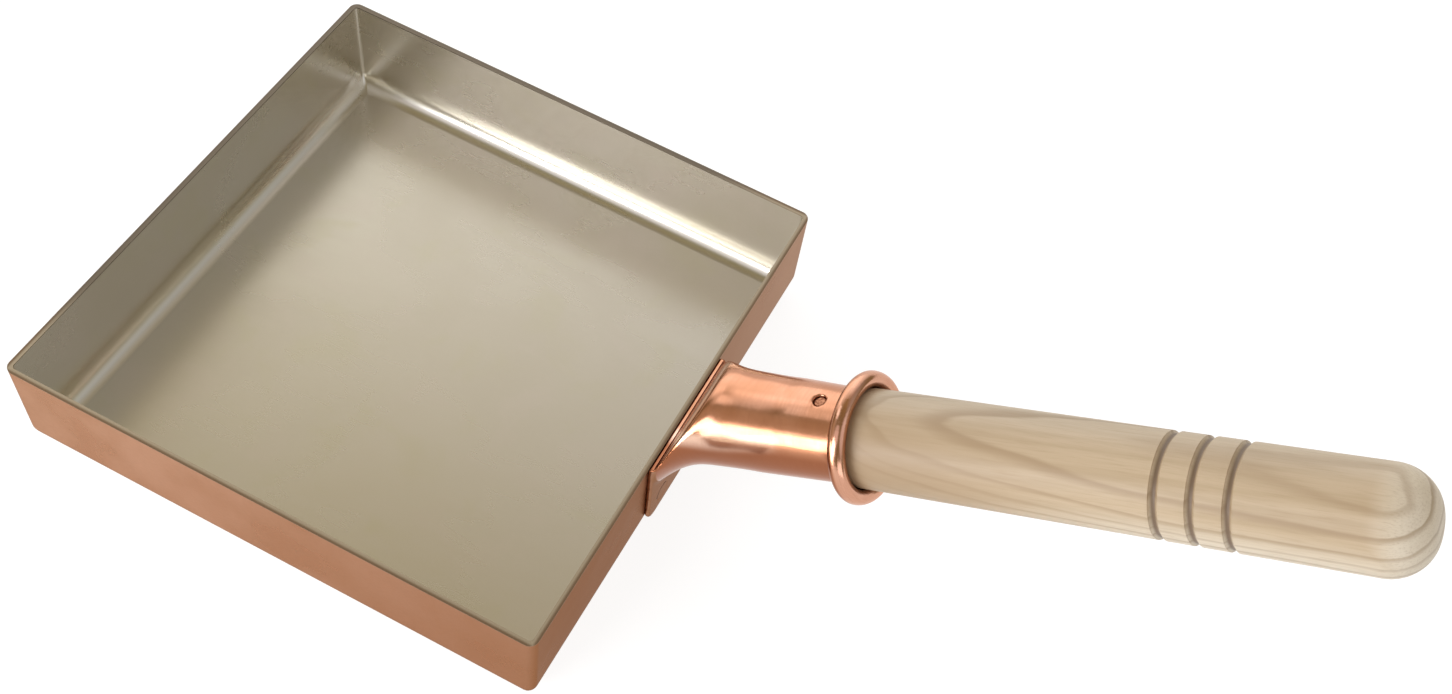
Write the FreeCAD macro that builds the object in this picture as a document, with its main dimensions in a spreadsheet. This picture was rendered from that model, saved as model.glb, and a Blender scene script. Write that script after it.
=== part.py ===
import FreeCAD, Part
import math
import os
import Sketcher
from FreeCAD import Placement, Rotation, Vector

# Driving sizes, in millimetres and degrees. The pan stands on z = 0, centred on the origin, and its
# handle runs towards +X. Distances named "reach" are measured along the handle's axis from the point
# where that axis crosses the plane of the rim's outer edge.
DIMS = [
    ("pan_width", 180, "outer width of the square rim"),
    ("pan_height", 38.4, "height of the rim above the underside"),
    ("wall_lean", 0.2, "how far each wall leans outwards over the height"),
    ("copper_gauge", 1.5, "thickness of the copper sheet"),
    ("tin_gauge", 0.2, "thickness of the tin coat inside and over the cut rim"),
    ("fold_radius", 7.5, "outer radius of the fold between floor and walls"),
    ("corner_radius", 3, "outer radius of the upright corners"),
    ("flange_width", 47.5, "width of the socket's flange on the wall"),
    ("flange_top_drop", 0.2, "step from the rim down to the flange's top edge"),
    ("flange_low_width", 43, "width of the flange at its lower edge"),
    ("flange_lift", 3, "height of the flange's lower edge above the underside"),
    ("flange_corner", 5, "radius of the flange's lower corners"),
    ("socket_gauge", 1.5, "thickness of the socket's sheet"),
    ("handle_tilt", 29, "angle of the handle above the horizontal, degrees"),
    ("axis_height", 39.9, "height of the handle's axis at the rim's outer edge"),
    ("hood_lean", 15, "lean of the face that closes the tube above the rim, degrees"),
    ("socket_span", 120, "size of the blocks that bound the socket"),
    ("flare_radius", 15, "radius of the flare between tube and flange"),
    ("flare_low_share", 0.8, "share of the flare on the tube's underside"),
    ("flare_margin", 0.25, "step from the flare to the flange's side edge"),
    ("flare_sink", 0.3, "depth at which the flare's end runs into the tube"),
    ("neck_reach", 19, "reach at which the tube's radius near the wall is given"),
    ("neck_radius", 15.3, "outer radius of the tube near the wall"),
    ("tube_radius", 13.9, "outer radius of the tube at its mouth"),
    ("mouth_round", 2, "outer radius of the flare at the mouth"),
    ("bead_reach", 63.3, "reach of the middle of the rolled bead"),
    ("bead_ring", 17.3, "radius of the circle the bead follows"),
    ("bead_section", 2.2, "radius of the bead's round section"),
    ("tenon_reach", 30, "reach of the tenon's hidden end"),
    ("tenon_clearance", 0.15, "radial gap between tenon and tube"),
    ("shoulder_reach", 62.9, "reach of the shoulder between tenon and grip"),
    ("grip_radius", 14.5, "radius of the grip beside the bead"),
    ("grip_end_radius", 14.2, "radius of the grip before its rounded end"),
    ("grip_end_reach", 220.5, "reach of the grip's far end"),
    ("grip_round", 12, "radius of the rounded far end"),
    ("shoulder_round", 1.6, "radius of the grip's edge at the shoulder"),
    ("groove_set", 66.4, "distance of the first turned groove from the grip's far end"),
    ("groove_pitch", 9.5, "distance between turned grooves"),
    ("groove_count", 3, "number of turned grooves"),
    ("groove_radius", 1.4, "radius of a groove's round section"),
    ("groove_depth", 0.9, "depth of a groove"),
    ("nail_reach", 52.7, "reach of the nail that holds the tenon"),
    ("nail_head_radius", 1.9, "radius of the nail's head"),
    ("nail_head_height", 1.2, "height of the nail's head"),
    ("nail_round", 0.5, "rounding of the nail's head"),
    ("nail_sink", 0.5, "depth of the nail's head below the tube's surface"),
    ("nail_shank_radius", 0.9, "radius of the nail's shank"),
    ("nail_shank_length", 9, "length of the nail's shank"),
    ("rivet_radius", 2, "radius of a rivet's shank"),
    ("rivet_head_radius", 3.6, "radius of a rivet's head inside the pan"),
    ("rivet_head_height", 1.6, "height of a rivet's head inside the pan"),
    ("rivet_round", 1.3, "rounding of a rivet's head inside the pan"),
    ("rivet_sink_radius", 3.2, "radius of a rivet's flush outer end"),
    ("rivet_sink_depth", 1, "depth over which a rivet widens to its flush outer end"),
    ("rivet_side", 13.5, "distance of the outer rivets from the middle"),
    ("rivet_clear", 0.3, "step from the fold up to the rivets' heads inside the pan"),
    ("fit_gap", 0.1, "radial gap round rivets and nail"),
]

SHEET = "dims"
TURN_AXIS = Vector(0, 1, 0)
# Points of a line or a circle in a sketch, and the sketch's own axes, by their numbers.
START, END, CENTRE = range(1, 4)
Y_AXIS, X_AXIS = range(-2, 0)
FULL_TURN = math.degrees(math.tau)
TOLERANCE = 1e-6
NONE = "0"
# Points round an oval section of the flare, how far out its sections lie as shares of the flare's radius,
# and the share from which it runs into the tube.
FLARE_SHARES = (0.02, 0.1, 0.2, 0.32, 0.46, 0.62, 0.8, 1.0)
RING_POINTS = 4 * len(FLARE_SHARES)
FLARE_BLEND = 0.46

doc = FreeCAD.newDocument("tamagoyaki_pan")
sheet = doc.addObject("Spreadsheet::Sheet", SHEET)
for row, (alias, size, note) in enumerate(DIMS, start=1):
    sheet.set("A%d" % row, note)
    sheet.set("B%d" % row, str(size))
    sheet.setAlias("B%d" % row, alias)
doc.recompute()


def size_of(expression):
    """Value of an expression in the sheet's aliases."""
    result = sheet.evalExpression(expression)
    return float(getattr(result, "Value", result))


def dim(alias):
    return "%s.%s" % (SHEET, alias)


WALL_ANGLE = "atan(%s / %s)" % (dim("wall_lean"), dim("pan_height"))
RIM_HALF = "%s / 2" % dim("pan_width")


def place(item, along_x, along_y, along_z, turn, shift=NONE):
    """Binds an item's place, its turn about the Y direction, and a shift along its own Z."""
    item.Placement = Placement(Vector(), Rotation(TURN_AXIS, size_of("(%s) / 1 deg" % turn)))
    item.setExpression("Placement.Base.x", "%s + (%s) * sin(%s)" % (along_x, shift, turn))
    item.setExpression("Placement.Base.y", along_y)
    item.setExpression("Placement.Base.z", "%s + (%s) * cos(%s)" % (along_z, shift, turn))
    item.setExpression("Placement.Rotation.Angle", turn)
    return item


def on_handle(item, shift=NONE):
    """Puts an item's local Z along the handle's axis, with local -X on the upper side."""
    turn = "(90 deg - %s * 1 deg)" % dim("handle_tilt")
    return place(item, RIM_HALF, NONE, dim("axis_height"), turn, shift)


def new_body(name):
    return doc.addObject("PartDesign::Body", name)


def new_sketch(body, name, role, lift=NONE):
    plane = [item for item in body.Origin.OriginFeatures if item.Role == role][0]
    sketch = body.newObject("Sketcher::SketchObject", name)
    sketch.AttachmentSupport = (plane, [""])
    sketch.MapMode = "FlatFace"
    sketch.setExpression("AttachmentOffset.Base.z", lift)
    return sketch


def bound(sketch, kind, index, point, expression):
    """Adds a size constraint and ties it to the sheet; a zero becomes a point on the axis."""
    if expression == NONE:
        axis = Y_AXIS if kind == "DistanceX" else X_AXIS
        sketch.addConstraint(Sketcher.Constraint("PointOnObject", index, point, axis))
        return
    if kind == "Radius":
        number = sketch.addConstraint(Sketcher.Constraint(kind, index, size_of(expression)))
    else:
        number = sketch.addConstraint(Sketcher.Constraint(kind, index, point, size_of(expression)))
    sketch.setExpression("Constraints[%d]" % number, expression)


def outline(sketch, corners):
    """Closed straight-sided outline through corners given as expressions."""
    points = [Vector(size_of(x), size_of(y), 0) for x, y in corners]
    count = len(points)
    for index in range(count):
        sketch.addGeometry(Part.LineSegment(points[index], points[(index + 1) % count]), False)
    for index in range(count):
        sketch.addConstraint(Sketcher.Constraint("Coincident", index, END, (index + 1) % count, START))
    for index, (x, y) in enumerate(corners):
        bound(sketch, "DistanceX", index, START, x)
        bound(sketch, "DistanceY", index, START, y)
    return sketch


def round_edges(body, name, wanted, radius):
    """Fillet on the edges of the body's tip that pass a test."""
    doc.recompute()
    tip = body.Tip
    names = ["Edge%d" % n for n, edge in enumerate(tip.Shape.Edges, start=1) if wanted(edge)]
    fillet = body.newObject("PartDesign::Fillet", name)
    fillet.Base = (tip, names)
    fillet.setExpression("Radius", radius)
    return fillet


def at_ring(radius, height):
    """Test for the round edge of a given radius and height on a turned body."""
    wanted_radius, wanted_height = size_of(radius), size_of(height)

    def test(edge):
        if not isinstance(edge.Curve, Part.Circle):
            return False
        near = abs(edge.Curve.Radius - wanted_radius) < TOLERANCE
        return near and abs(edge.Curve.Center.z - wanted_height) < TOLERANCE
    return test


def heights(edge):
    return [vertex.Z for vertex in edge.Vertexes]


def turned_body(name, corners):
    """Solid of revolution about local Z from corners given as (radius, height)."""
    body = new_body(name)
    profile = outline(new_sketch(body, name + "_profile", "XZ_Plane"), corners)
    turn = body.newObject("PartDesign::Revolution", name + "_turn")
    turn.Profile = profile
    turn.ReferenceAxis = (profile, ["V_Axis"])
    turn.Angle = FULL_TURN
    return body


def cylinder(name, radius, length):
    tool = doc.addObject("Part::Cylinder", name)
    tool.setExpression("Radius", radius)
    tool.setExpression("Height", length)
    return tool


def fuse(name, shapes):
    joined = doc.addObject("Part::MultiFuse", name)
    joined.Shapes = shapes
    return joined


def cut(name, base, tool):
    result = doc.addObject("Part::Cut", name)
    result.Base = base
    result.Tool = tool
    result.Label = name
    return result


# Pan: three nested trays of the same leaning form give the copper shell and the tin coat inside it.
def tray(name, inset, floor, fold, corner):
    """Solid tray whose walls lean outwards, with a rounded fold and rounded upright corners."""
    body = new_body(name)
    level = "%s * (1 - (%s) / %s)" % (dim("wall_lean"), floor, dim("pan_height"))
    half = "(%s - (%s) - %s)" % (RIM_HALF, inset, level)
    foot = outline(
        new_sketch(body, name + "_foot", "XY_Plane", floor),
        [("-%s" % half, "-%s" % half), (half, "-%s" % half), (half, half), ("-%s" % half, half)])
    pad = body.newObject("PartDesign::Pad", name + "_pad")
    pad.Profile = foot
    pad.setExpression("Length", "%s - (%s)" % (dim("pan_height"), floor))
    doc.recompute()
    middle = pad.Shape.BoundBox.Center.z
    faces = [("Face%d" % n, face.BoundBox) for n, face in enumerate(pad.Shape.Faces, start=1)]
    walls = [face for face, box in faces if box.ZMin < middle < box.ZMax]
    floors = [face for face, box in faces if box.ZMax < middle]
    lean = body.newObject("PartDesign::Draft", name + "_lean")
    lean.Base = (pad, walls)
    lean.NeutralPlane = (pad, floors)
    lean.Reversed = True
    lean.setExpression("Angle", WALL_ANGLE)
    round_edges(body, name + "_fold", lambda edge: max(heights(edge)) < middle, fold)
    round_edges(
        body, name + "_corners", lambda edge: min(heights(edge)) < middle < max(heights(edge)), corner)
    return body


SKIN = "(%s + %s)" % (dim("copper_gauge"), dim("tin_gauge"))
pan_blank = tray("pan_blank", NONE, NONE, dim("fold_radius"), dim("corner_radius"))
lining_blank = tray(
    "lining_blank", dim("copper_gauge"), dim("copper_gauge"),
    "%s - %s" % (dim("fold_radius"), dim("copper_gauge")),
    "%s - %s" % (dim("corner_radius"), dim("copper_gauge")))
food_space = tray(
    "food_space", SKIN, SKIN,
    "%s - %s" % (dim("fold_radius"), SKIN), "%s - %s" % (dim("corner_radius"), SKIN))

rim_slab = doc.addObject("Part::Box", "rim_slab")
rim_slab.setExpression("Length", dim("pan_width"))
rim_slab.setExpression("Width", dim("pan_width"))
rim_slab.setExpression("Height", dim("tin_gauge"))
rim_slab.setExpression("Placement.Base.x", "-%s" % RIM_HALF)
rim_slab.setExpression("Placement.Base.y", "-%s" % RIM_HALF)
rim_slab.setExpression("Placement.Base.z", "%s - %s" % (dim("pan_height"), dim("tin_gauge")))
rim_coat = doc.addObject("Part::Common", "rim_coat")
rim_coat.Base = pan_blank
rim_coat.Tool = rim_slab


# Rivets: one each side of the neck and one below it, square to the leaning wall. Each has a round head
# inside the pan and widens to a flush end in the flange.
rivet_places = [("1", "-%s" % dim("rivet_side")), ("2", NONE), ("3", dim("rivet_side"))]


def on_wall(item, aside):
    """Puts local Z square to the wall, pointing out, at the rivets' height on the wall's outer face."""
    lift = "%s + %s + %s" % (dim("fold_radius"), dim("rivet_head_radius"), dim("rivet_clear"))
    drop = "(%s - (%s)) / cos(%s)" % (dim("pan_height"), lift, WALL_ANGLE)
    return place(
        item, "%s - %s * sin(%s)" % (RIM_HALF, drop, WALL_ANGLE), aside, lift,
        "(90 deg + %s)" % WALL_ANGLE)


rivets = []
rivet_tools = []
RIVET_INSIDE = "-%s" % SKIN
RIVET_END = "(%s - %s)" % (RIVET_INSIDE, dim("rivet_head_height"))
RIVET_OUTSIDE = dim("socket_gauge")
RIVET_SINK = "(%s - %s)" % (RIVET_OUTSIDE, dim("rivet_sink_depth"))
for number, aside in rivet_places:
    name = "socket_rivet_" + number
    rivet = turned_body(name, [
        (NONE, RIVET_END),
        (dim("rivet_head_radius"), RIVET_END),
        (dim("rivet_head_radius"), RIVET_INSIDE),
        (dim("rivet_radius"), RIVET_INSIDE),
        (dim("rivet_radius"), RIVET_SINK),
        (dim("rivet_sink_radius"), RIVET_OUTSIDE),
        (NONE, RIVET_OUTSIDE),
    ])
    round_edges(rivet, name + "_dome", at_ring(dim("rivet_head_radius"), RIVET_END), dim("rivet_round"))
    rivet.Label = name
    rivets.append(on_wall(rivet, aside))
    shank = "(%s + %s)" % (dim("rivet_radius"), dim("fit_gap"))
    mouth = "(%s + %s)" % (dim("rivet_sink_radius"), dim("fit_gap"))
    beyond = "(%s + %s)" % (RIVET_OUTSIDE, dim("rivet_sink_depth"))
    hole = turned_body(name + "_hole", [
        (NONE, RIVET_END), (shank, RIVET_END), (shank, RIVET_SINK), (mouth, RIVET_OUTSIDE),
        (mouth, beyond), (NONE, beyond)])
    rivet_tools.append(on_wall(hole, aside))
rivet_holes = fuse("rivet_holes", rivet_tools)

copper_pan = cut("copper_pan", pan_blank, fuse("copper_waste", [lining_blank, rim_slab, rivet_holes]))
tin_lining = cut(
    "tin_lining", fuse("tin_blank", [lining_blank, rim_coat]), fuse("tin_waste", [food_space, rivet_holes]))


# Socket: a flange on the wall, a tube that flares into it, a leaning face that closes the tube above
# the rim, and a mouth rolled into a bead. The hollow inside is made like the outside, drawn in by an inset.
def at_wall(drop, out):
    """Point in the plane of the handle, given down the wall from the rim and out from the wall."""
    return (
        "(%s - (%s) * sin(%s) + (%s) * cos(%s))" % (RIM_HALF, drop, WALL_ANGLE, out, WALL_ANGLE),
        "(%s - (%s) * cos(%s) - (%s) * sin(%s))" % (dim("pan_height"), drop, WALL_ANGLE, out, WALL_ANGLE))


def at_hood(rise, inset):
    """Point in the plane of the handle, given up the leaning face from the flange's top and into it."""
    start = at_wall(dim("flange_top_drop"), dim("socket_gauge"))
    lean = "(%s * 1 deg)" % dim("hood_lean")
    return (
        "(%s + (%s) * sin(%s) + (%s) * cos(%s))" % (start[0], rise, lean, inset, lean),
        "(%s + (%s) * cos(%s) - (%s) * sin(%s))" % (start[1], rise, lean, inset, lean))


def slab(name, corners, role, length):
    """Straight-sided block about the plane of the handle, or out from the wall."""
    body = new_body(name)
    pad = body.newObject("PartDesign::Pad", name + "_pad")
    pad.Profile = outline(new_sketch(body, name + "_outline", role), corners)
    pad.setExpression("Length", length)
    return body


def hood_block(name, inset, corners):
    """Block behind the leaning face, drawn in by an inset."""
    top = at_hood(dim("socket_span"), inset)
    behind = "(%s - %s)" % (RIM_HALF, dim("socket_span"))
    body = slab(name, corners + [top, (behind, top[1]), (behind, corners[0][1])], "XZ_Plane",
                dim("socket_span"))
    body.Tip.SideType = "Symmetric"
    return body


def tube(name, inset, flare):
    """Tapered tube, from behind the wall to the mouth, with a flared lip for the bead."""
    gauge = dim("socket_gauge")
    lip = "(%s - %s + %s)" % (dim("bead_reach"), gauge, inset)
    radius = "(%s - %s)" % (dim("tube_radius"), inset)
    taper = "((%s - %s) / (%s - %s))" % (
        dim("neck_radius"), dim("tube_radius"), dim("bead_reach"), dim("neck_reach"))
    back = "-%s" % dim("neck_radius")
    back_radius = "(%s + (%s + %s) * %s)" % (radius, dim("bead_reach"), dim("neck_radius"), taper)
    body = turned_body(name, [
        (NONE, back), (back_radius, back), (radius, lip), (dim("bead_ring"), lip),
        (dim("bead_ring"), "(%s + %s)" % (lip, gauge)), (NONE, "(%s + %s)" % (lip, gauge))])
    round_edges(body, name + "_flare", at_ring(radius, lip), flare)
    return on_handle(body)


def ring(centre, half_width, half_height):
    """Closed oval section parallel to the wall's middle plane."""
    points = []
    for step in range(RING_POINTS):
        angle = 2 * math.pi * step / RING_POINTS
        points.append(centre + Vector(0, half_width * math.sin(angle), -half_height * math.cos(angle)))
    curve = Part.BSplineCurve()
    curve.interpolate(Points=points, PeriodicFlag=True)
    return Part.Wire(curve.toShape())


def flare_sections(inset):
    """Oval sections that widen the tube sideways and downwards into the flange."""
    tilt = math.radians(size_of(dim("handle_tilt")))
    sweep = size_of(dim("flare_radius"))
    widest = size_of("%s / 2 - %s" % (dim("flange_width"), dim("flare_margin"))) - inset
    low_share = size_of(dim("flare_low_share"))
    neck, mouth = size_of(dim("neck_radius")), size_of(dim("tube_radius"))
    neck_reach, bead_reach = size_of(dim("neck_reach")), size_of(dim("bead_reach"))
    wires = []
    for share in FLARE_SHARES:
        out = sweep * share
        reach = out / math.cos(tilt)
        tube_radius = neck + (neck - mouth) * (neck_reach - reach) / (bead_reach - neck_reach)
        gain = sweep - math.sqrt((sweep + inset) ** 2 - (sweep - out) ** 2)
        half_width = min(tube_radius + gain, widest)
        middle = size_of(dim("axis_height")) + out * math.tan(tilt)
        top = middle + (tube_radius - inset) / math.cos(tilt)
        low = middle - tube_radius / math.cos(tilt) - gain * low_share
        centre = Vector(size_of(RIM_HALF) + out, 0, (top + low) / 2)
        sink = size_of(dim("flare_sink")) * max(share - FLARE_BLEND, 0) / (1 - FLARE_BLEND)
        wires.append(ring(centre, half_width - sink, (top - low) / 2 - sink))
    return wires


def flare(name, inset):
    feature = doc.addObject("Part::Feature", name)
    feature.Shape = Part.makeLoft(flare_sections(inset), True, False)
    return feature


flange_low = "-(%s - %s)" % (dim("pan_height"), dim("flange_lift"))
flange_top = "-%s" % dim("flange_top_drop")
top_half = "(%s / 2)" % dim("flange_width")
low_half = "(%s / 2)" % dim("flange_low_width")
flange = slab("flange_plate", [
    ("-%s" % low_half, flange_low), (low_half, flange_low),
    (top_half, flange_top), ("-%s" % top_half, flange_top),
], "YZ_Plane", dim("socket_gauge"))
low_edge = size_of(flange_low)
sheet_half = size_of(dim("socket_gauge")) / 2
round_edges(
    flange, "flange_round",
    lambda edge: max(heights(edge)) < low_edge + TOLERANCE and edge.BoundBox.XLength > sheet_half,
    dim("flange_corner"))
place(flange, RIM_HALF, NONE, dim("pan_height"), WALL_ANGLE)

gauge = dim("socket_gauge")
socket_form = fuse("socket_form", [
    flange, tube("tube_form", NONE, dim("mouth_round")), flare("flare_form", size_of(NONE))])
hood_waste = hood_block("hood_waste", NONE, [
    at_wall(dim("socket_span"), NONE), at_wall(dim("flange_top_drop"), NONE), at_hood(NONE, NONE)])
hood_stop = hood_block("hood_stop", gauge, [at_hood("-%s" % dim("neck_radius"), gauge)])
hollow = cut("socket_hollow", fuse("hollow_blank", [
    tube("tube_hollow", gauge, "%s + %s" % (dim("mouth_round"), gauge)),
    flare("flare_hollow", size_of(gauge))]), hood_stop)
bead = doc.addObject("Part::Torus", "socket_bead")
bead.setExpression("Radius1", dim("bead_ring"))
bead.setExpression("Radius2", dim("bead_section"))
on_handle(bead, dim("bead_reach"))
socket_sheet = cut("socket_sheet", socket_form, fuse("sheet_waste", [hood_waste, hollow]))


# Nail: sunk through the tube's upper side into the tenon.
NAIL_TOP = "(%s - %s)" % (dim("tube_radius"), dim("nail_sink"))
NAIL_SEAT = "(%s - %s)" % (NAIL_TOP, dim("nail_head_height"))


def on_nail(item, shift=NONE):
    """Puts local Z square to the handle's axis, pointing up, at the nail's reach."""
    reach, tilt = dim("nail_reach"), "(%s * 1 deg)" % dim("handle_tilt")
    return place(
        item, "%s + %s * cos(%s)" % (RIM_HALF, reach, tilt), NONE,
        "%s + %s * sin(%s)" % (dim("axis_height"), reach, tilt), "(-%s)" % tilt, shift)


handle_nail = turned_body("handle_nail", [
    (NONE, "%s - %s" % (NAIL_SEAT, dim("nail_shank_length"))),
    (dim("nail_shank_radius"), "%s - %s" % (NAIL_SEAT, dim("nail_shank_length"))),
    (dim("nail_shank_radius"), NAIL_SEAT),
    (dim("nail_head_radius"), NAIL_SEAT),
    (dim("nail_head_radius"), NAIL_TOP),
    (NONE, NAIL_TOP),
])
round_edges(handle_nail, "nail_dome", at_ring(dim("nail_head_radius"), NAIL_TOP), dim("nail_round"))
handle_nail.Label = "handle_nail"
on_nail(handle_nail)
shank_hole_radius = "%s + %s" % (dim("nail_shank_radius"), dim("fit_gap"))
head_hole_radius = "%s + %s" % (dim("nail_head_radius"), dim("fit_gap"))
nail_shank_hole = on_nail(
    cylinder("nail_shank_hole", shank_hole_radius, dim("nail_shank_length")),
    "%s - %s" % (NAIL_SEAT, dim("nail_shank_length")))
nail_head_hole = on_nail(cylinder("nail_head_hole", head_hole_radius, dim("bead_ring")), NAIL_SEAT)

handle_socket = cut(
    "handle_socket", fuse("socket_joined", [socket_sheet, bead]),
    fuse("socket_holes", [rivet_holes, nail_head_hole]))


# Wooden handle: tenon in the tube, rounded shoulder at the bead, grip with turned grooves and a round end.
bore = "(%s - %s)" % (dim("tube_radius"), dim("socket_gauge"))
tenon = "(%s - %s)" % (bore, dim("tenon_clearance"))
grip = turned_body("grip_blank", [
    (NONE, dim("tenon_reach")),
    (tenon, dim("tenon_reach")),
    (tenon, dim("shoulder_reach")),
    (dim("grip_radius"), dim("shoulder_reach")),
    (dim("grip_end_radius"), dim("grip_end_reach")),
    (NONE, dim("grip_end_reach")),
])
round_edges(
    grip, "grip_shoulder", at_ring(dim("grip_radius"), dim("shoulder_reach")), dim("shoulder_round"))
round_edges(grip, "grip_end", at_ring(dim("grip_end_radius"), dim("grip_end_reach")), dim("grip_round"))
GROOVE_REACH = "(%s - %s)" % (dim("grip_end_reach"), dim("groove_set"))
grip_share = "(%s - %s) / (%s - %s)" % (
    GROOVE_REACH, dim("shoulder_reach"), dim("grip_end_reach"), dim("shoulder_reach"))
groove_surface = "(%s + (%s - %s) * %s)" % (
    dim("grip_radius"), dim("grip_end_radius"), dim("grip_radius"), grip_share)
groove_sketch = new_sketch(grip, "groove_outline", "XZ_Plane")
groove_centre = "%s - %s + %s" % (groove_surface, dim("groove_depth"), dim("groove_radius"))
groove_sketch.addGeometry(Part.Circle(
    Vector(size_of(groove_centre), size_of(GROOVE_REACH), 0), Vector(0, 0, 1),
    size_of(dim("groove_radius"))), False)
bound(groove_sketch, "DistanceX", 0, CENTRE, groove_centre)
bound(groove_sketch, "DistanceY", 0, CENTRE, GROOVE_REACH)
bound(groove_sketch, "Radius", 0, CENTRE, dim("groove_radius"))
groove = grip.newObject("PartDesign::Groove", "groove")
groove.Profile = groove_sketch
groove.ReferenceAxis = (groove_sketch, ["V_Axis"])
groove.Angle = FULL_TURN
doc.recompute()
groove_row = grip.newObject("PartDesign::LinearPattern", "groove_row")
groove_row.Originals = [groove]
groove_row.Direction = (groove_sketch, ["V_Axis"])
groove_row.setExpression("Length", "%s * (%s - 1)" % (dim("groove_pitch"), dim("groove_count")))
groove_row.setExpression("Occurrences", dim("groove_count"))
grip.Tip = groove_row
on_handle(grip)
wooden_handle = cut("wooden_handle", grip, fuse("nail_hole", [nail_shank_hole, nail_head_hole]))

doc.recompute()
for item in doc.Objects:
    if "Invalid" in item.State or "Error" in item.State:
        raise RuntimeError("feature failed: %s" % item.Name)

os.makedirs("parts", exist_ok=True)
for node in [copper_pan, tin_lining, handle_socket, wooden_handle, handle_nail] + rivets:
    if node.Shape.isNull() or not node.Shape.isValid() or len(node.Shape.Solids) != 1:
        raise RuntimeError("not one sound solid: %s" % node.Label)
    node.Shape.exportStep(os.path.join("parts", node.Label + ".step"))
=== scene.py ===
import math
import bpy
import numpy
from mathutils import Matrix, Vector


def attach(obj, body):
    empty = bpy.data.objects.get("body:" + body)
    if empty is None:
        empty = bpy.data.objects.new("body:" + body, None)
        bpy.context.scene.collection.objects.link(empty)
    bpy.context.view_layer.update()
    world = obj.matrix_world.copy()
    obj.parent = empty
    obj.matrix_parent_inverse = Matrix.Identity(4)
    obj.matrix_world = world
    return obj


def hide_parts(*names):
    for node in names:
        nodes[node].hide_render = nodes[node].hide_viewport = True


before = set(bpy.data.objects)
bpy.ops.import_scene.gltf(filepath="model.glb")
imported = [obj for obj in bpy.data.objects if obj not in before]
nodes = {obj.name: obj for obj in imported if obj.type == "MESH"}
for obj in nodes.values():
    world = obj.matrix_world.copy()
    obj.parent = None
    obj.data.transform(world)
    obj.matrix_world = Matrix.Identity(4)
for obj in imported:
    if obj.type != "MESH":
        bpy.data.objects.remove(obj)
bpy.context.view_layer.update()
scene = bpy.context.scene
scene.view_settings.view_transform = "Standard"

# The scene is in metres. Places in the materials and in the socket's forming are in millimetres.
PER_METRE = 1000.0

# Handle frame, in metres: where its axis crosses the plane of the rim's outer edge, and its turn about Y.
HANDLE_ORIGIN = (0.09, 0.0, 0.0399)
HANDLE_TURN = (0.0, math.radians(61.0), 0.0)
# Weights of the handle's X and Y for the distance from its axis towards the lower near side.
BELOW_X = 0.65
BELOW_Y = -0.76

# Pan: half its width, and the heights between which the tone of the cut rim comes in.
HALF_WIDTH = 90.0
RIM_FROM = 37.8
RIM_FULL = 38.25

# Turned grooves of the grip: reach of the first along the handle, spacing and number of the last.
GROOVE_REACH = 154.1
GROOVE_PITCH = 9.5
GROOVE_LAST = 2.0

# Growth rings of the grip: reach from which they bend, least distance from it, unit and height of the bend, half the
# span that the lines are set in, how soon and to what level a line drops behind its peak, and each line's place,
# strength and width.
RING_REACH = 59.0
RING_LEAST = 4.0
RING_UNIT = 34.0
RING_BEND = 4.3
RING_SPAN = 25.0
RING_DROP = 0.45
RING_REST = 0.05
RING_LINES = (
    (-19.0, 0.5, 1.3), (-14.6, 0.8, 1.5), (-10.9, 0.6, 1.3), (-7.0, 0.9, 1.5), (-3.2, 0.6, 1.3),
    (1.6, 0.8, 1.5), (5.2, 0.6, 1.4), (9.3, 0.8, 1.6), (14.6, 1.0, 1.9), (19.2, 0.6, 1.5))

# Socket: the hood's foot and lean, the flange's face and top, and the cell that its mesh is made with, in metres.
HOOD_X = 91.5
HOOD_Z = 38.2
HOOD_LEAN = math.radians(15.0)
FLANGE_FACE = 92.2
FLANGE_TOP = 37.9
SOCKET_CELL = 0.00045
# Relaxing of the socket's mesh: passes all over, along the hood's fold and along the flare, and the most that a
# vertex moves towards its neighbours' middle in one pass, all over and along the folds.
ALL_PASSES = 4
HOOD_PASSES = 90
FLARE_PASSES = 220
ALL_RELAX = 0.3
FOLD_RELAX = 0.5
# Rolled bead: reach of its middle along the handle, the radius it follows, and how much fuller it is rolled along
# the handle and towards the wood, the latter coming in over a short reach.
BEAD_REACH = 63.3
BEAD_RING = 17.3
BEAD_LONGER = 0.45
BEAD_CLOSER = 0.25
BEAD_EASE = 0.9

# Floor: half its width and its depth below the part, in metres, its plain and its shown grey, and its glow.
FLOOR_HALF = 40.0
FLOOR_DROP = 0.0002
FLOOR_PLAIN = 0.8
FLOOR_SHOWN = 0.3
FLOOR_GLOW = 0.84

# Lamps: the X that they stand round, an area lamp's power per area and radiance, and for each its name, azimuth in
# degrees, distance, lower and upper edge and width in metres, radiance and tint.
LAMP_CENTRE_X = 0.05
LAMP_POWER = 4.0
LAMPS = (
    ("window_box", -111.0, 1.09, 0.25, 0.75, 0.52, 4.3, (0.93, 1.0, 1.13)),
    ("low_box", -114.0, 0.40, 0.0, 0.15, 0.28, 5.0, (1.0, 1.0, 1.0)),
    ("fill_box", -50.0, 1.0, 0.02, 0.36, 0.70, 1.4, (0.9, 1.0, 1.15)))

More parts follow.
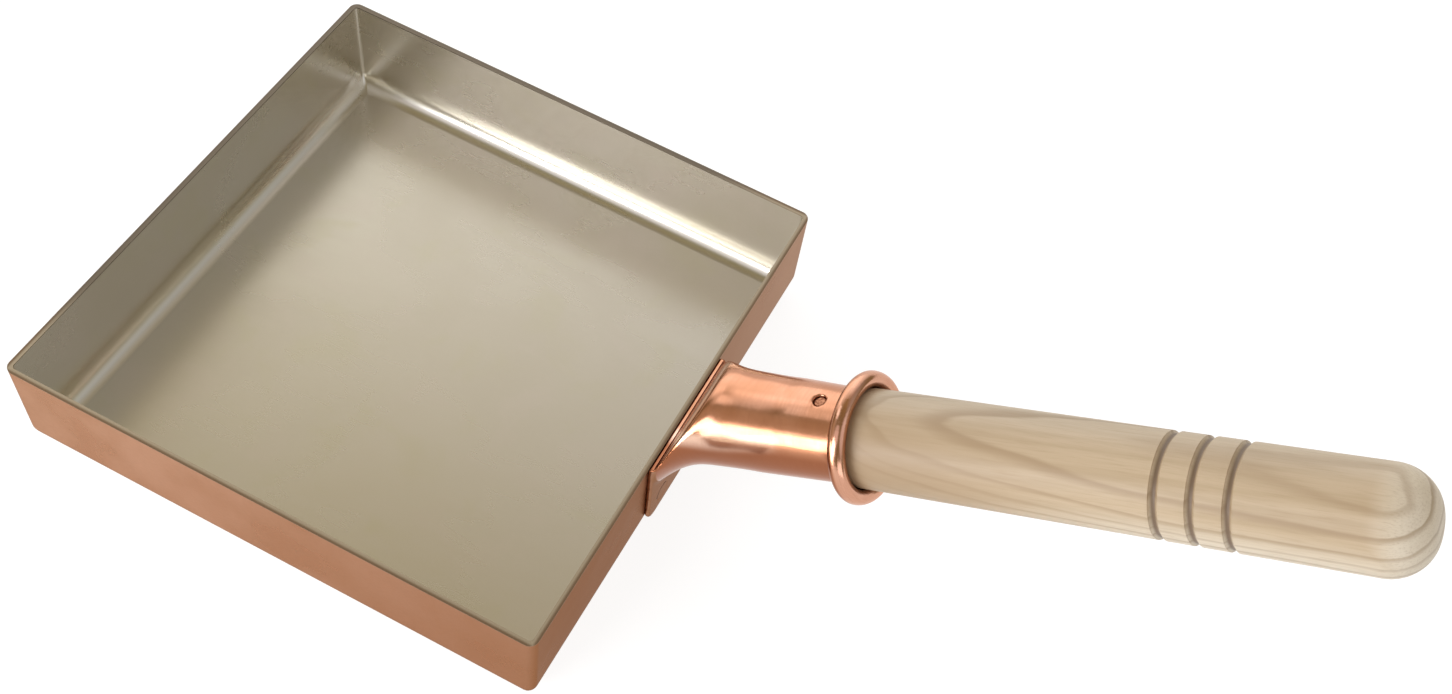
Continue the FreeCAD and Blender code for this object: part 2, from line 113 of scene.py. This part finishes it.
# Room: its plain tone, and soft patches added to it, each with azimuth, elevation, angle at which it ends, angle
# within which it is full, all in degrees, and tone.
ROOM_TONE = (0.31, 0.265, 0.15)
ROOM_PATCHES = (
    (118.0, 58.0, 45.0, 12.0, (0.09, 0.05, 0.0)),
    (102.0, 42.0, 26.0, 8.0, (0.18, 0.20, 0.27)),
    (128.0, 14.0, 52.0, 14.0, (1.12, 1.20, 1.32)),
    (138.0, 0.0, 45.0, 15.0, (0.55, 0.58, 0.62)),
    (62.0, 50.0, 38.0, 12.0, (0.12, 0.16, 0.26)),
    (5.0, 30.0, 52.0, 20.0, (0.10, 0.11, 0.12)),
    (-20.0, 45.0, 35.0, 12.0, (0.60, 0.66, 0.85)),
    (166.0, 27.0, 16.0, 5.0, (0.80, 0.85, 0.95)),
    (-175.0, 43.0, 14.0, 5.0, (1.7, 1.85, 2.1)),
    (-148.0, 22.0, 22.0, 8.0, (0.34, 0.32, 0.31)),
    (-112.0, 44.0, 22.0, 8.0, (0.80, 0.82, 1.0)))

# Camera at the photograph's viewing angle: lens and sensor in millimetres, shift, near limit, axes and place.
CAMERA_LENS = 42.22730053
CAMERA_SENSOR = 36.0
CAMERA_SHIFT = (-0.03274728, -0.00754082)
CAMERA_NEAR = 0.01
CAMERA_RIGHT = (0.88935698, 0.43915864, 0.12721578)
CAMERA_UP = (-0.42976171, 0.70798691, 0.56041004)
CAMERA_BACK = (0.15604180, -0.55307705, 0.81838667)
CAMERA_EYE = (0.18543928, -0.26039663, 0.48217732)


class Tree:
    """Short calls for building a node tree."""

    def __init__(self, owner):
        owner.use_nodes = True
        self.tree = owner.node_tree
        self.tree.nodes.clear()

    def add(self, kind, settings=None, **inputs):
        made = self.tree.nodes.new("ShaderNode" + kind)
        for key, value in (settings or {}).items():
            setattr(made, key, value)
        for key, value in inputs.items():
            self.put(made.inputs[key.replace("_", " ")], value)
        return made

    def put(self, socket, value):
        if isinstance(value, bpy.types.NodeSocket):
            self.tree.links.new(value, socket)
        else:
            socket.default_value = value

    def math(self, operation, *values, clamp=False):
        made = self.add("Math", {"operation": operation, "use_clamp": clamp})
        for socket, value in zip(made.inputs, values):
            self.put(socket, value)
        return made.outputs[0]

    def mix(self, share, first, second, blend="MIX"):
        made = self.add("Mix", {"data_type": "RGBA", "blend_type": blend})
        for index, value in ((0, share), (6, first), (7, second)):
            self.put(made.inputs[index], value)
        return made.outputs[2]

    def noise(self, vector, scale, detail=3.0, roughness=0.5, distortion=0.0):
        made = self.add("TexNoise", Vector=vector, Scale=scale, Detail=detail, Roughness=roughness,
                        Distortion=distortion)
        return made.outputs[0]

    def ranged(self, value, low, high, to_low=0.0, to_high=1.0, smooth=True):
        made = self.add("MapRange", {"interpolation_type": "SMOOTHSTEP" if smooth else "LINEAR"})
        for index, number in enumerate((value, low, high, to_low, to_high)):
            self.put(made.inputs[index], number)
        return made.outputs[0]

    def ramp(self, value, stops):
        made = self.add("ValToRGB", Fac=value)
        made.color_ramp.interpolation = "EASE"
        elements = made.color_ramp.elements
        while len(elements) < len(stops):
            elements.new(1.0)
        for element, (place, level) in zip(elements, stops):
            element.position = place
            element.color = (level, level, level, 1.0)
        return made.outputs[0]

    def mapped(self, vector, scale, place=(0.0, 0.0, 0.0), turn=(0.0, 0.0, 0.0), kind="POINT"):
        made = self.add("Mapping", {"vector_type": kind}, Vector=vector, Location=place, Rotation=turn, Scale=scale)
        return made.outputs[0]

    def split(self, vector):
        return self.add("SeparateXYZ", Vector=vector).outputs

    def bump(self, height, distance, strength, normal=None):
        made = self.add("Bump", Height=height, Distance=distance, Strength=strength)
        if normal is not None:
            self.put(made.inputs["Normal"], normal)
        return made.outputs[0]

    def place(self):
        """Object coordinates in millimetres."""
        return self.mapped(self.add("TexCoord").outputs["Object"], (PER_METRE, PER_METRE, PER_METRE))

    def handle_place(self):
        """Handle coordinates in millimetres: X down, Y across, Z along the axis from the rim."""
        unit = 1.0 / PER_METRE
        return self.mapped(self.add("TexCoord").outputs["Object"], (unit, unit, unit),
                           HANDLE_ORIGIN, HANDLE_TURN, "TEXTURE")

    def below(self, down, across):
        """Distance from the handle's axis towards the lower near side."""
        return self.math("MULTIPLY_ADD", down, BELOW_X, self.math("MULTIPLY", across, BELOW_Y))

    def surface(self, **inputs):
        shader = self.add("BsdfPrincipled", **inputs)
        self.tree.links.new(shader.outputs[0], self.add("OutputMaterial").inputs[0])


def colour(red, green, blue):
    return (red, green, blue, 1.0)


def sheet_copper():
    """Satin copper of the pan's outside: rolled sheet with faint planishing marks, cloudy toning and a painted
    reflection that darkens it towards the handle.
    """
    # These two lines hold the tones of the painted reflection, lighter far from the handle and darker towards it.
    painted_light_far_end, painted_shade_handle_end = colour(0.62, 0.385, 0.275), colour(0.465, 0.26, 0.175)
    painted_shade_side_near, painted_light_side_far = colour(0.38, 0.20, 0.125), colour(0.60, 0.42, 0.32)
    clouded, marked = colour(0.38, 0.19, 0.11), colour(0.36, 0.155, 0.085)
    glancing = colour(0.54, 0.42, 0.35)

    material = bpy.data.materials.new("pan_copper")
    t = Tree(material)
    at = t.place()
    x, y, _ = t.split(at)
    cloud = t.noise(at, 0.035, 4.0, 0.55)
    fine = t.noise(t.mapped(at, (0.35, 0.35, 1.6)), 1.3, 3.0, 0.6)
    # Painted reflection: the sheet is coloured darker towards the handle, most of all on the side that carries it,
    # and there darkest towards the near side.
    tone = t.mix(t.ranged(x, -HALF_WIDTH, HALF_WIDTH), painted_light_far_end, painted_shade_handle_end)
    side = t.mix(t.ranged(y, -60.0, HALF_WIDTH), painted_shade_side_near, painted_light_side_far)
    tone = t.mix(t.ranged(x, 86.5, 89.9), tone, side)
    tone = t.mix(t.ranged(cloud, 0.35, 0.70, 0.0, 0.25), tone, clouded)
    tone = t.mix(t.ranged(fine, 0.3, 0.7, 0.0, 0.16), tone, marked)
    blow = t.add("TexVoronoi", {"feature": "SMOOTH_F1"}, Vector=at, Scale=0.11, Smoothness=0.6).outputs[0]
    normal = t.bump(fine, 0.00002, 0.4, t.bump(blow, 0.00025, 0.25))
    t.surface(Base_Color=tone, Metallic=1.0, Roughness=t.ranged(cloud, 0.3, 0.7, 0.34, 0.26),
              Specular_Tint=glancing, Normal=normal)
    return material


def bright_copper():
    """Polished copper of the socket, with fine lines round the handle's axis, warmer toned patches, a painted
    highlight low on the flare and painted shade underneath and before the bead.
    """
    deep, warm = colour(0.52, 0.235, 0.13), colour(0.585, 0.285, 0.175)
    # On the next line, the first tone is a painted highlight and the second painted shade.
    painted_highlight_tone, dark, rolled = colour(0.88, 0.60, 0.46), colour(0.31, 0.11, 0.052), colour(0.68, 0.38, 0.27)
    scored, glancing = colour(0.40, 0.15, 0.08), colour(1.0, 0.92, 0.88)

    material = bpy.data.materials.new("socket_copper")
    t = Tree(material)
    along = t.handle_place()
    down, across, reach = t.split(along)
    lines = t.noise(t.mapped(along, (0.12, 0.12, 2.4)), 1.6, 4.0, 0.6)
    cloud = t.noise(along, 0.09, 3.0, 0.5)
    tone = t.mix(t.ranged(cloud, 0.35, 0.7), deep, warm)
    below = t.below(down, across)
    under = t.math("SUBTRACT", below, t.ranged(reach, 45.0, 15.0, 0.0, 2.5))
    # Painted highlight: a band low on the flare is coloured brighter.
    painted_highlight_band = t.math("MULTIPLY", t.ranged(under, 2.5, 4.5, 0.0, 0.85), t.ranged(under, 9.5, 7.0))
    tone = t.mix(t.math("MULTIPLY", painted_highlight_band, t.ranged(reach, 44.0, 34.0)), tone, painted_highlight_tone)
    # Painted shade: the copper is coloured darker underneath and before the bead.
    painted_neck_shade = t.math("MULTIPLY", t.ranged(reach, 55.0, 59.0, 0.0, 0.8), t.ranged(below, 1.0, 6.0))
    shade = t.math("MAXIMUM", t.ranged(under, 5.2, 9.0, 0.0, 0.95), painted_neck_shade)
    tone = t.mix(t.math("MULTIPLY", shade, t.ranged(reach, 62.8, 63.8, 1.0, 0.0)), tone, dark)
    tone = t.mix(t.ranged(reach, 63.0, 64.2, 0.0, 0.5), tone, rolled)
    tone = t.mix(t.ranged(lines, 0.35, 0.75, 0.0, 0.22), tone, scored)
    normal = t.bump(lines, 0.00001, 0.25, t.bump(cloud, 0.0004, 0.2))
    t.surface(Base_Color=tone, Metallic=1.0, Roughness=t.ranged(lines, 0.3, 0.7, 0.17, 0.22),
              Specular_Tint=glancing, Normal=normal)
    return material


def dull_copper():
    """Darkened copper of the nail's head, with wear showing lighter in small spots."""
    dark, wear_and_shade = colour(0.22, 0.085, 0.045), colour(0.44, 0.20, 0.11)

    material = bpy.data.materials.new("nail_copper")
    t = Tree(material)
    spots = t.noise(t.place(), 1.4, 3.0, 0.6)
    tone = t.mix(t.ranged(spots, 0.4, 0.7), dark, wear_and_shade)
    t.surface(Base_Color=tone, Metallic=1.0, Roughness=t.ranged(spots, 0.3, 0.7, 0.45, 0.32),
              Normal=t.bump(spots, 0.00008, 0.4))
    return material


def wiped_tin():
    """Hot-wiped tin: satin, with cloudy tints, faint wiping streaks, fine grain and a browned cut rim."""
    grey, pale = colour(0.635, 0.59, 0.505), colour(0.665, 0.625, 0.545)
    rosy, olive = colour(0.665, 0.61, 0.54), colour(0.63, 0.595, 0.47)
    streaked, grained = colour(0.57, 0.53, 0.46), colour(0.55, 0.51, 0.45)
    rim_inside, rim_outside, rim_far = colour(0.44, 0.36, 0.26), colour(0.20, 0.125, 0.07), colour(0.15, 0.12, 0.09)
    wiping = (0.0, 0.0, math.radians(24))

    material = bpy.data.materials.new("wiped_tin")
    t = Tree(material)
    at = t.place()
    x, y, z = t.split(at)
    cloud = t.noise(at, 0.016, 3.0, 0.5, 0.6)
    streak = t.noise(t.mapped(at, (0.05, 0.35, 0.35), turn=wiping), 1.0, 2.0, 0.5, 0.4)
    grain = t.noise(at, 0.6, 3.0, 0.6)
    tint = t.noise(at, 0.045, 3.0, 0.55, 0.5)
    tone = t.mix(t.ranged(cloud, 0.3, 0.7), grey, pale)
    tone = t.mix(t.ranged(tint, 0.52, 0.70, 0.0, 0.5), tone, rosy)
    tone = t.mix(t.ranged(tint, 0.48, 0.30, 0.0, 0.5), tone, olive)
    tone = t.mix(t.ranged(streak, 0.35, 0.75, 0.0, 0.04), tone, streaked)
    tone = t.mix(t.ranged(grain, 0.3, 0.7, 0.0, 0.05), tone, grained)
    # The rim is darker on its outer edge, and on the sides opposite the handle and opposite the near side.
    rim = t.ranged(z, RIM_FROM, RIM_FULL)
    edge = t.math("MAXIMUM", t.math("ABSOLUTE", x), t.math("ABSOLUTE", y))
    cut = t.mix(t.ranged(edge, 88.7, 89.7), rim_inside, rim_outside)
    cut = t.mix(t.ranged(t.math("SUBTRACT", y, x), 5.0, 40.0, 0.0, 0.9), cut, rim_far)
    tone = t.mix(t.math("MULTIPLY", rim, 0.95), tone, cut)
    rough = t.math("ADD", t.ranged(streak, 0.3, 0.7, 0.27, 0.28), t.ranged(cloud, 0.3, 0.7, 0.02, -0.02))
    t.surface(Base_Color=tone, Metallic=1.0, Roughness=t.math("MULTIPLY_ADD", rim, 0.2, rough),
              Normal=t.bump(cloud, 0.0005, 0.06))
    return material


def growth_lines(t, along, down, across, reach):
    """Growth rings: planes that face up, bent where they rise out of the wood near the socket."""
    height = t.math("MULTIPLY_ADD", down, -0.9986, t.math("MULTIPLY", across, -0.052))
    distance = t.math("MAXIMUM", t.math("SUBTRACT", reach, RING_REACH), RING_LEAST)
    bend = t.math("LOGARITHM", t.math("DIVIDE", distance, RING_UNIT), math.e)
    wander = t.noise(t.mapped(along, (1.0, 1.0, 0.14)), 0.09, 2.0, 0.5)
    ring = t.math("MULTIPLY_ADD", bend, RING_BEND, height)
    ring = t.math("ADD", ring, t.ranged(wander, 0.2, 0.8, -1.4, 1.4, False))
    level = t.ranged(ring, -RING_SPAN, RING_SPAN, 0.0, 1.0, False)
    whole = 2.0 * RING_SPAN
    stops = [(0.0, 0.0)]
    for line, strength, width in RING_LINES:
        top = (line + RING_SPAN) / whole
        stops += [(top - width / whole, 0.0), (top, strength), (top + RING_DROP / whole, RING_REST)]
    return t.ramp(level, stops)


def from_groove(t, reach):
    """Distance along the handle from the nearest turned groove."""
    step = t.math("SUBTRACT", reach, GROOVE_REACH)
    number = t.math("MAXIMUM", t.math("DIVIDE", step, GROOVE_PITCH), 0.0)
    number = t.math("ROUND", t.math("MINIMUM", number, GROOVE_LAST))
    return t.math("ABSOLUTE", t.math("MULTIPLY_ADD", number, -GROOVE_PITCH, step))


def pale_wood():
    """Pale straight-grown wood: growth lines cut at a slant, so they run into long tongues on the grip."""
    plain, light = colour(0.478, 0.35, 0.215), colour(0.555, 0.42, 0.275)
    # On the next line: painted shade near the socket, painted light on top and painted sheen along the lower side.
    painted_shade_near_socket, painted_light_top, painted_sheen_lower_side = colour(0.37, 0.25, 0.145), colour(0.66, 0.54, 0.40), colour(0.77, 0.67, 0.53)
    ringed, fibrous, groove_dirt_and_shade = colour(0.33, 0.215, 0.115), colour(0.38, 0.26, 0.15), colour(0.15, 0.09, 0.048)

    material = bpy.data.materials.new("pale_wood")
    t = Tree(material)
    along = t.handle_place()
    down, across, reach = t.split(along)
    lines = growth_lines(t, along, down, across, reach)
    fibre = t.noise(t.mapped(along, (1.0, 1.0, 0.04)), 2.6, 5.0, 0.7)
    broad = t.noise(t.mapped(along, (1.0, 1.0, 0.05)), 0.35, 2.0, 0.5)
    tone = t.mix(t.ranged(broad, 0.3, 0.7), plain, light)
    # Painted shade makes it darker underneath near the socket; painted light makes it paler on top, and a painted
    # sheen paler along the lower side and at the end.
    below = t.below(down, across)
    wear_and_shade = t.math("MULTIPLY", t.ranged(reach, 60.0, 150.0, 0.95, 0.0), t.ranged(below, -9.0, 4.0, 0.35, 1.0))
    tone = t.mix(wear_and_shade, tone, painted_shade_near_socket)
    # Painted light: paler on top.
    tone = t.mix(t.ranged(below, -7.0, -14.0, 0.0, 0.6), tone, painted_light_top)
    # Painted sheen along the lower side, and painted light at the end.
    pale = t.math("MULTIPLY", t.ranged(below, 6.0, 13.0, 0.0, 0.75), t.ranged(reach, 95.0, 170.0))
    pale = t.math("MAXIMUM", pale, t.ranged(reach, 205.0, 215.0, 0.0, 0.85))
    tone = t.mix(pale, tone, painted_sheen_lower_side)
    tone = t.mix(t.math("MULTIPLY", lines, 0.66), tone, ringed)
    tone = t.mix(t.ranged(fibre, 0.45, 0.75, 0.0, 0.4), tone, fibrous)
    # The turned grooves are coloured darker: painted shade, partly dirt.
    tone = t.mix(t.ranged(from_groove(t, reach), 1.2, 0.2, 0.0, 0.95), tone, groove_dirt_and_shade)
    t.surface(Base_Color=tone, Roughness=t.ranged(fibre, 0.3, 0.7, 0.42, 0.54), Specular_IOR_Level=0.6,
              Normal=t.bump(fibre, 0.00004, 0.35))
    return material


def floor_material():
    """White where the floor is seen, with the object's soft shadow kept in it."""
    material = bpy.data.materials.new("studio_floor")
    t = Tree(material)
    seen = t.add("LightPath").outputs
    shown = t.math("ADD", seen["Is Camera Ray"], seen["Is Glossy Ray"])
    shown = t.math("ADD", shown, seen["Is Transmission Ray"], clamp=True)
    plain = t.add("BsdfDiffuse", Color=colour(FLOOR_PLAIN, FLOOR_PLAIN, FLOOR_PLAIN)).outputs[0]
    soft = t.add("BsdfDiffuse", Color=colour(FLOOR_SHOWN, FLOOR_SHOWN, FLOOR_SHOWN)).outputs[0]
    glow = t.add("Emission", Color=colour(1.0, 1.0, 1.0), Strength=FLOOR_GLOW).outputs[0]
    white = t.add("AddShader")
    t.put(white.inputs[0], soft)
    t.put(white.inputs[1], glow)
    blend = t.add("MixShader", Fac=shown)
    t.put(blend.inputs[1], plain)
    t.put(blend.inputs[2], white.outputs[0])
    t.put(t.add("OutputMaterial").inputs[0], blend.outputs[0])
    return material


def fit_material(name, material):
    node = nodes[name]
    if not node.material_slots:
        node.data.materials.append(material)
    for place in node.material_slots:
        place.material = material


def places(items, field):
    """A vector field of mesh vertices or polygons, one row each."""
    values = numpy.empty(len(items) * 3)
    items.foreach_get(field, values)
    return values.reshape(-1, 3)


def rounded_sheet(name, source, voxel, steps):
    """Copy of a CAD node, meshed evenly and relaxed, so that the folds that each step's weight picks are rounded."""
    piece = bpy.data.objects.new(name, source.data.copy())
    scene.collection.objects.link(piece)
    even = piece.modifiers.new("even", "REMESH")
    even.mode = "VOXEL"
    even.voxel_size = voxel
    mesh = bpy.data.meshes.new_from_object(piece.evaluated_get(bpy.context.evaluated_depsgraph_get()))
    piece.modifiers.clear()
    piece.data = mesh
    mesh.materials.clear()
    count = len(mesh.vertices)
    place = places(mesh.vertices, "co")
    ends = numpy.empty(len(mesh.edges) * 2, dtype=numpy.int32)
    mesh.edges.foreach_get("vertices", ends)
    first, second = ends.reshape(-1, 2).T
    near = numpy.maximum(numpy.bincount(ends, minlength=count), 1)
    for passes, weight in steps:
        share = weight(place * PER_METRE)
        for _ in range(passes):
            for axis in range(3):
                line = place[:, axis]
                total = numpy.bincount(first, line[second], count) + numpy.bincount(second, line[first], count)
                place[:, axis] = line + share * (total / near - line)
    mesh.vertices.foreach_set("co", place.ravel())
    mesh.shade_smooth()
    mesh.update()
    return piece


def eased(value, low, high):
    """Smooth step from 0 at the low value to 1 at the high one."""
    step = numpy.clip((value - low) / (high - low), 0.0, 1.0)
    return step * step * (3.0 - 2.0 * step)


def from_hood(at):
    """Distance in front of the socket's flat hood, which leans away from the pan's rim."""
    return (at[:, 0] - HOOD_X) * math.cos(HOOD_LEAN) - (at[:, 2] - HOOD_Z) * math.sin(HOOD_LEAN)


def all_share(at):
    """A light relaxing all over, which leaves the cut edges as they are."""
    return numpy.full(len(at), ALL_RELAX)


def hood_share(at):
    """Most along the fold between the hood and the tube, and none at the flange's top edge."""
    return FOLD_RELAX * eased(9.0 - numpy.abs(from_hood(at)), 0.0, 5.0) * eased(at[:, 2], 38.7, 40.5)


def flare_share(at):
    """Most where the flare runs out into the tube."""
    along_tube = eased(at[:, 0], 94.0, 97.0) * eased(122.0 - at[:, 0], 0.0, 6.0)
    return FOLD_RELAX * eased(from_hood(at), 3.0, 6.0) * along_tube


def fuller_bead(piece):
    """Rolls the bead fuller towards the grip, so that it closes on the wood."""
    mesh = piece.data
    origin = numpy.array(HANDLE_ORIGIN) * PER_METRE
    axis = numpy.array((math.sin(HANDLE_TURN[1]), 0.0, math.cos(HANDLE_TURN[1])))
    place = places(mesh.vertices, "co") * PER_METRE - origin
    reach = place @ axis
    out = place - numpy.outer(reach, axis)
    radius = numpy.maximum(numpy.linalg.norm(out, axis=1), 0.001)
    front = numpy.maximum(reach - BEAD_REACH, 0.0)
    drawn = BEAD_CLOSER * eased(front, 0.0, BEAD_EASE) * numpy.maximum(BEAD_RING - radius, 0.0)
    out *= (1.0 - drawn / radius)[:, None]
    place = origin + out + numpy.outer(reach + BEAD_LONGER * front, axis)
    mesh.vertices.foreach_set("co", (place / PER_METRE).ravel())
    mesh.update()


def soft_box(name, azimuth, distance, low, high, width, level, tint):
    """Upright lamp at an azimuth and distance, facing the object, with a given radiance."""
    lamp = bpy.data.lights.new(name, "AREA")
    lamp.shape = "RECTANGLE"
    lamp.size, lamp.size_y = width, high - low
    lamp.energy = LAMP_POWER * level * width * (high - low)
    lamp.color = tint
    item = bpy.data.objects.new(name, lamp)
    towards = Vector((math.cos(math.radians(azimuth)), math.sin(math.radians(azimuth)), 0.0))
    item.location = towards * distance + Vector((LAMP_CENTRE_X, 0.0, (low + high) / 2))
    item.rotation_euler = towards.to_track_quat("Z", "Y").to_euler()
    item.visible_camera = False
    scene.collection.objects.link(item)


def patch_share(t, towards, azimuth, elevation, far, near):
    """Soft round patch of the room: 0 beyond the far angle and 1 within the near one."""
    azimuth, elevation, far, near = (math.radians(angle) for angle in (azimuth, elevation, far, near))
    flat = math.cos(elevation)
    turn = t.add("VectorMath", {"operation": "DOT_PRODUCT"})
    t.put(turn.inputs[0], towards)
    t.put(turn.inputs[1], (flat * math.cos(azimuth), flat * math.sin(azimuth), math.sin(elevation)))
    return t.ranged(turn.outputs["Value"], math.cos(far), math.cos(near))


def soft_room():
    """World of a plain tone with soft patches added to it."""
    world = bpy.data.worlds.new("studio_room")
    t = Tree(world)
    towards = t.add("TexCoord").outputs["Generated"]
    room = colour(*ROOM_TONE)
    for azimuth, elevation, far, near, tone in ROOM_PATCHES:
        share = patch_share(t, towards, azimuth, elevation, far, near)
        room = t.mix(share, room, t.mix(1.0, room, colour(*tone), "ADD"))
    t.put(t.add("OutputWorld").inputs[0], t.add("Background", Color=room, Strength=1.0).outputs[0])
    return world


# Materials of the CAD nodes.
pan_copper = sheet_copper()
fit_material("copper_pan", pan_copper)
fit_material("tin_lining", wiped_tin())
fit_material("handle_nail", dull_copper())
for rivet in ("socket_rivet_1", "socket_rivet_2", "socket_rivet_3"):
    fit_material(rivet, pan_copper)
fit_material("wooden_handle", pale_wood())

# Socket: the CAD node's form with its folds rounded and its bead fuller. Its flange is toned like the pan, painted
# reflection and shade included.
socket_sheet = rounded_sheet("socket_sheet", nodes["handle_socket"], SOCKET_CELL,
                             ((ALL_PASSES, all_share), (HOOD_PASSES, hood_share), (FLARE_PASSES, flare_share)))
fuller_bead(socket_sheet)
socket_sheet.data.materials.append(bright_copper())
socket_sheet.data.materials.append(pan_copper)
middles = places(socket_sheet.data.polygons, "center") * PER_METRE
on_flange = (middles[:, 0] < FLANGE_FACE) & (middles[:, 2] < FLANGE_TOP)
socket_sheet.data.polygons.foreach_set("material_index", on_flange.astype(numpy.int32))
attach(socket_sheet, "root")
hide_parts("handle_socket")

# Floor.
floor_mesh = bpy.data.meshes.new("studio_floor")
floor_mesh.from_pydata(
    [(x * FLOOR_HALF, y * FLOOR_HALF, -FLOOR_DROP) for x, y in ((-1, -1), (1, -1), (1, 1), (-1, 1))],
    [], [(0, 1, 2, 3)])
floor = bpy.data.objects.new("studio_floor", floor_mesh)
floor_mesh.materials.append(floor_material())
scene.collection.objects.link(floor)

# Light: three soft boxes on the near side and a soft room.
for lamp_row in LAMPS:
    soft_box(*lamp_row)
scene.world = soft_room()

# Camera.
camera_data = bpy.data.cameras.new("photo_camera")
camera_data.lens = CAMERA_LENS
camera_data.sensor_width = CAMERA_SENSOR
camera_data.sensor_fit = "HORIZONTAL"
camera_data.shift_x, camera_data.shift_y = CAMERA_SHIFT
camera_data.clip_start = CAMERA_NEAR
camera = bpy.data.objects.new("photo_camera", camera_data)
axes = [tuple(row) + (0.0,) for row in zip(CAMERA_RIGHT, CAMERA_UP, CAMERA_BACK)]
camera.matrix_world = Matrix(axes + [(0.0, 0.0, 0.0, 1.0)])
camera.location = CAMERA_EYE
scene.collection.objects.link(camera)
scene.camera = camera
